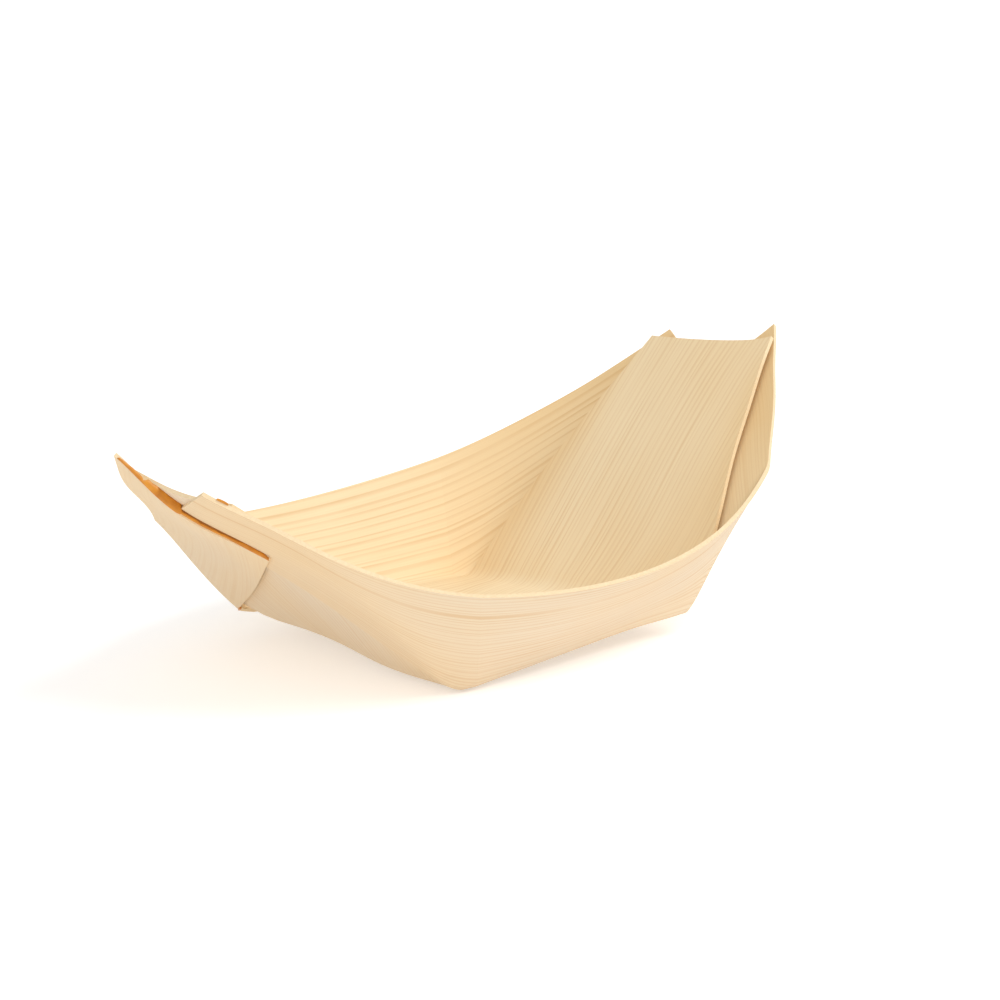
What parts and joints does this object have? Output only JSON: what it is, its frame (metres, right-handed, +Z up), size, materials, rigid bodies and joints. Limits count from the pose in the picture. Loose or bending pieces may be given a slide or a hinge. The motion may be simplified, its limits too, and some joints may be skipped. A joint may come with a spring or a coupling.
{
  "type": "wooden snack boat",
  "caption": "Boat-shaped serving dish folded from thin pine veneer, with upswept ends where the side strips wrap round a bent tongue and are glued.",
  "frame": {"origin": "on the table plane, under the middle of the floor", "axes": "+X along the boat and its grain, towards the right end; +Y to the rear; +Z up"},
  "size_m": [0.0855, 0.0556, 0.028],
  "materials": {
    "pine_veneer": "raw sliced veneer",
    "glue": "glossy amber"
  },
  "bodies": {
    "root": {"floor_panel": "pine_veneer", "front_side_wall": "pine_veneer", "rear_side_wall": "pine_veneer", "left_end_tongue": "pine_veneer", "right_end_tongue": "pine_veneer", "left_inner_wrap": "pine_veneer", "right_inner_wrap": "pine_veneer", "left_outer_wrap": "pine_veneer", "right_outer_wrap": "pine_veneer", "left_seam_glue": "glue", "right_seam_glue": "glue", "left_slit_glue": "glue", "right_slit_glue": "glue", "left_corner_glue": "glue", "right_corner_glue": "glue"}
  },
  "joints": []
}
